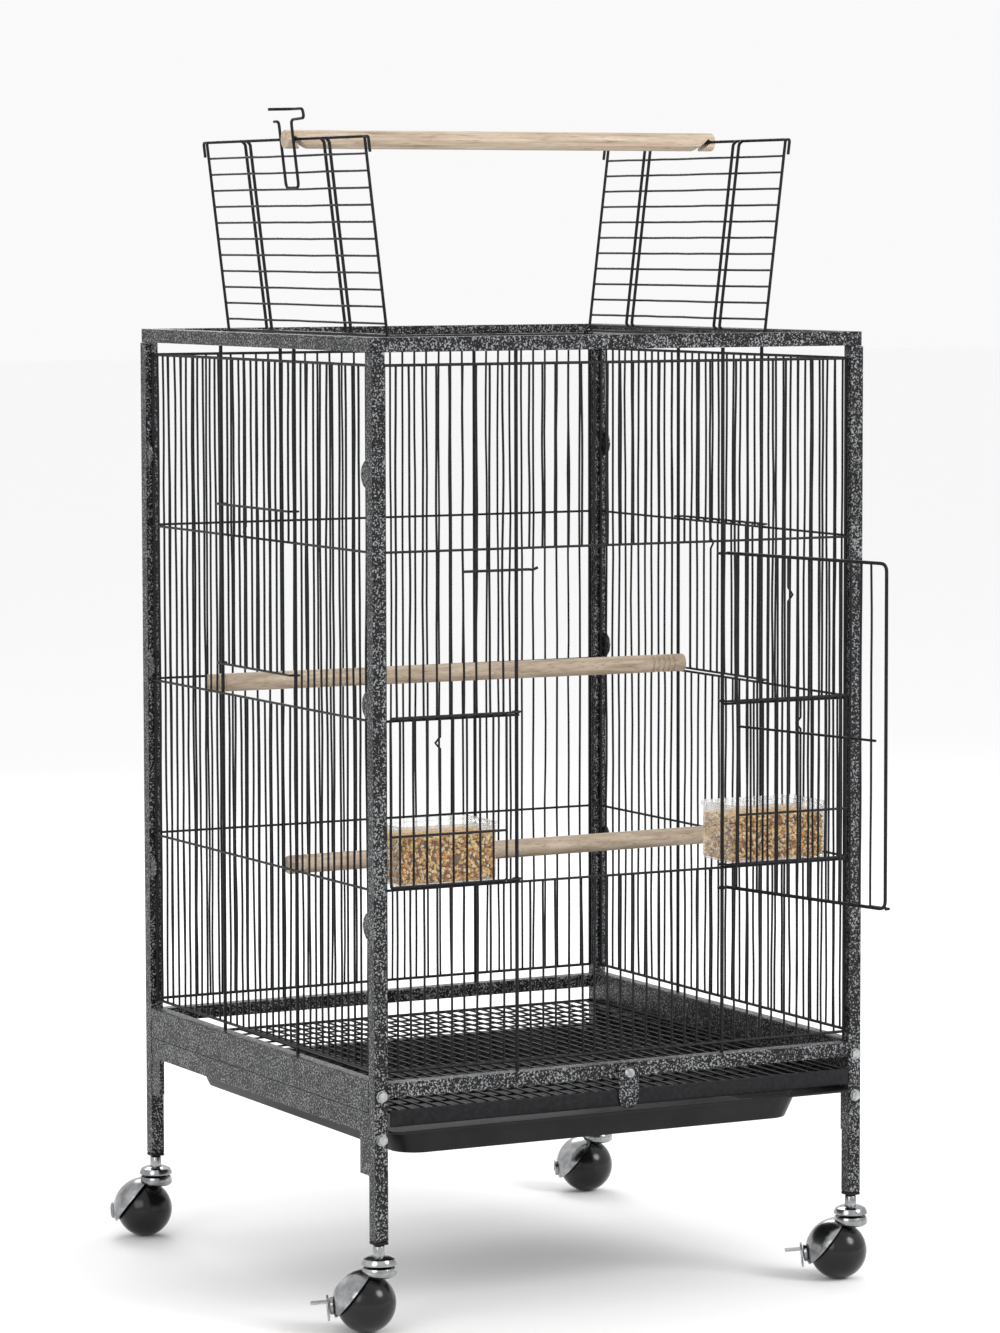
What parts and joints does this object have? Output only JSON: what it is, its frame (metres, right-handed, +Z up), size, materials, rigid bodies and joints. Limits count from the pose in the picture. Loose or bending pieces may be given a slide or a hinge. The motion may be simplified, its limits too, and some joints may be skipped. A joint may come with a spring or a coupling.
{
  "type": "bird cage on stand",
  "caption": "Square wire bird cage on tall legs with ball casters, opening roof flaps, a play perch, side and feeder doors, and a slide-out grate and tray.",
  "frame": {"origin": "middle of the whole object in plan, with its front door standing open, on the floor under the casters", "axes": "+Z up; the front, with the main door, faces -Y; +X is to the right seen from the front"},
  "size_m": [0.5258, 0.6784, 1.0157],
  "materials": {
    "frame_coat": "black powder coat with a fine silver hammered vein",
    "wire_coat": "black powder-coated wire",
    "zinc": "bright zinc plate",
    "caster_chrome": "polished chrome plate",
    "ball_plastic": "gloss black nylon",
    "tray_plastic": "black moulded plastic, lightly glossy",
    "plug_plastic": "black moulded plastic",
    "clear_plastic": "clear hard plastic",
    "dowel_wood": "bare pale hardwood dowel"
  },
  "bodies": {
    "cage_frame": {"post_front_left": "frame_coat", "leg_plug_front_left": "plug_plastic", "leg_bolt_upper_front_left": "zinc", "leg_bolt_lower_front_left": "zinc", "post_front_right": "frame_coat", "leg_plug_front_right": "plug_plastic", "leg_bolt_upper_front_right": "zinc", "leg_bolt_lower_front_right": "zinc", "post_rear_left": "frame_coat", "leg_plug_rear_left": "plug_plastic", "leg_bolt_upper_rear_left": "zinc", "leg_bolt_lower_rear_left": "zinc", "post_rear_right": "frame_coat", "leg_plug_rear_right": "plug_plastic", "leg_bolt_upper_rear_right": "zinc", "leg_bolt_lower_rear_right": "zinc", "top_frame": "frame_coat", "rail_front": "frame_coat", "rail_rear": "frame_coat", "rail_left": "frame_coat", "tray_guide_left": "frame_coat", "rail_right": "frame_coat", "tray_guide_right": "frame_coat", "panel_front": "wire_coat", "panel_rear": "wire_coat", "panel_left": "wire_coat", "panel_right": "wire_coat", "panel_roof": "wire_coat", "perch_upper": "dowel_wood", "perch_lower": "dowel_wood", "caster_stem_front_left": "caster_chrome", "caster_stem_front_right": "caster_chrome", "caster_stem_rear_left": "caster_chrome", "caster_stem_rear_right": "caster_chrome"},
    "main_door": {"main_door": "wire_coat"},
    "feeder_door_left": {"feeder_door_left": "wire_coat"},
    "feeder_door_right": {"feeder_door_right": "wire_coat"},
    "nest_door_left": {"nest_door_left": "wire_coat"},
    "nest_door_right": {"nest_door_right": "wire_coat"},
    "feed_cup_left": {"feed_cup_left": "clear_plastic"},
    "feed_cup_right": {"feed_cup_right": "clear_plastic"},
    "grate": {"floor_grate": "wire_coat", "retainer_plate": "frame_coat"},
    "retainer_screw": {"retainer_screw": "zinc"},
    "droppings_tray": {"droppings_tray": "tray_plastic"},
    "play_perch": {"play_perch": "dowel_wood"},
    "roof_flap_left": {"roof_flap_left": "wire_coat"},
    "roof_flap_right": {"roof_flap_right": "wire_coat"},
    "flap_latch": {"flap_latch": "wire_coat"},
    "caster_swivel_front_left": {"caster_hood_front_left": "caster_chrome"},
    "caster_ball_front_left": {"caster_ball_front_left": "ball_plastic"},
    "brake_lever_front_left": {"brake_lever_front_left": "zinc"},
    "caster_swivel_front_right": {"caster_hood_front_right": "caster_chrome"},
    "caster_ball_front_right": {"caster_ball_front_right": "ball_plastic"},
    "brake_lever_front_right": {"brake_lever_front_right": "zinc"},
    "caster_swivel_rear_left": {"caster_hood_rear_left": "caster_chrome"},
    "caster_ball_rear_left": {"caster_ball_rear_left": "ball_plastic"},
    "caster_swivel_rear_right": {"caster_hood_rear_right": "caster_chrome"},
    "caster_ball_rear_right": {"caster_ball_rear_right": "ball_plastic"}
  },
  "joints": [
    {"name": "main_door_hinge", "type": "hinge", "parent": "cage_frame", "child": "main_door", "pos_m": [0.11772, -0.1532, 0.4939], "axis": [0, 0, 1], "range_deg": [-103, 10]},
    {"name": "feeder_door_slide_left", "type": "slide", "parent": "cage_frame", "child": "feeder_door_left", "axis": [0, 0, 1], "range_m": [0, 0.112]},
    {"name": "feeder_door_slide_right", "type": "slide", "parent": "cage_frame", "child": "feeder_door_right", "axis": [0, 0, 1], "range_m": [0, 0.112]},
    {"name": "nest_door_slide_left", "type": "slide", "parent": "cage_frame", "child": "nest_door_left", "axis": [0, 0, 1], "range_m": [-0.024, 0.105]},
    {"name": "nest_door_slide_right", "type": "slide", "parent": "cage_frame", "child": "nest_door_right", "axis": [0, 0, 1], "range_m": [0, 0.13]},
    {"name": "feed_cup_lift_left", "type": "slide", "parent": "cage_frame", "child": "feed_cup_left", "axis": [0, 0, 1], "range_m": [0, 0.06]},
    {"name": "feed_cup_lift_right", "type": "slide", "parent": "cage_frame", "child": "feed_cup_right", "axis": [0, 0, 1], "range_m": [0, 0.06]},
    {"name": "grate_slide", "type": "slide", "parent": "cage_frame", "child": "grate", "axis": [0, -1, 0], "range_m": [0, 0.38]},
    {"name": "tray_slide", "type": "slide", "parent": "cage_frame", "child": "droppings_tray", "axis": [0, -1, 0], "range_m": [0, 0.4]},
    {"name": "retainer_screw_turn", "type": "hinge", "parent": "grate", "child": "retainer_screw", "pos_m": [0.02161, -0.1614, 0.2004], "axis": [0, 1, 0], "range_deg": [0, 720]},
    {"name": "play_perch_lift", "type": "slide", "parent": "cage_frame", "child": "play_perch", "axis": [0, 0, 1], "range_m": [0, 0.25988]},
    {"name": "roof_flap_hinge_left", "type": "hinge", "parent": "cage_frame", "child": "roof_flap_left", "pos_m": [-0.16339, 0.0758, 0.8189], "axis": [0, 1, 0], "range_deg": [0, 97]},
    {"name": "roof_flap_hinge_right", "type": "hinge", "parent": "cage_frame", "child": "roof_flap_right", "pos_m": [0.20061, 0.0758, 0.8189], "axis": [0, 1, 0], "range_deg": [-97, 0]},
    {"name": "flap_latch_slide", "type": "slide", "parent": "roof_flap_left", "child": "flap_latch", "axis": [-0.1219, 0, 0.9925], "range_m": [-0.03, 0.025]},
    {"name": "caster_swivel_front_left", "type": "hinge", "parent": "cage_frame", "child": "caster_swivel_front_left", "pos_m": [-0.21039, -0.1532, 0.05391], "axis": [0, 0, 1], "continuous": true},
    {"name": "caster_roll_front_left", "type": "hinge", "parent": "caster_swivel_front_left", "child": "caster_ball_front_left", "pos_m": [-0.21984, -0.14818, 0.02491], "axis": [-0.8796, 0.4677, -0.0872], "continuous": true},
    {"name": "brake_lever_tip_front_left", "type": "hinge", "parent": "caster_swivel_front_left", "child": "brake_lever_front_left", "pos_m": [-0.24635, -0.13409, 0.01124], "axis": [-0.4695, -0.8829, 0], "range_deg": [0, 20]},
    {"name": "caster_swivel_front_right", "type": "hinge", "parent": "cage_frame", "child": "caster_swivel_front_right", "pos_m": [0.24761, -0.1532, 0.05391], "axis": [0, 0, 1], "continuous": true},
    {"name": "caster_roll_front_right", "type": "hinge", "parent": "caster_swivel_front_right", "child": "caster_ball_front_right", "pos_m": [0.23816, -0.14818, 0.02491], "axis": [-0.8796, 0.4677, -0.0872], "continuous": true},
    {"name": "brake_lever_tip_front_right", "type": "hinge", "parent": "caster_swivel_front_right", "child": "brake_lever_front_right", "pos_m": [0.21166, -0.13409, 0.01124], "axis": [-0.4695, -0.8829, 0], "range_deg": [0, 20]},
    {"name": "caster_swivel_rear_left", "type": "hinge", "parent": "cage_frame", "child": "caster_swivel_rear_left", "pos_m": [-0.21039, 0.3048, 0.05391], "axis": [0, 0, 1], "continuous": true},
    {"name": "caster_roll_rear_left", "type": "hinge", "parent": "caster_swivel_rear_left", "child": "caster_ball_rear_left", "pos_m": [-0.21926, 0.31078, 0.02491], "axis": [-0.8259, 0.5571, -0.0872], "continuous": true},
    {"name": "caster_swivel_rear_right", "type": "hinge", "parent": "cage_frame", "child": "caster_swivel_rear_right", "pos_m": [0.24761, 0.3048, 0.05391], "axis": [0, 0, 1], "continuous": true},
    {"name": "caster_roll_rear_right", "type": "hinge", "parent": "caster_swivel_rear_right", "child": "caster_ball_rear_right", "pos_m": [0.23769, 0.3088, 0.02491], "axis": [-0.9237, 0.3732, -0.0872], "continuous": true}
  ],
  "couplings": [
    {"joint": "roof_flap_hinge_left", "follows": "play_perch_lift", "rad_per_m": 6.5143},
    {"joint": "roof_flap_hinge_right", "follows": "play_perch_lift", "rad_per_m": -6.5143}
  ]
}
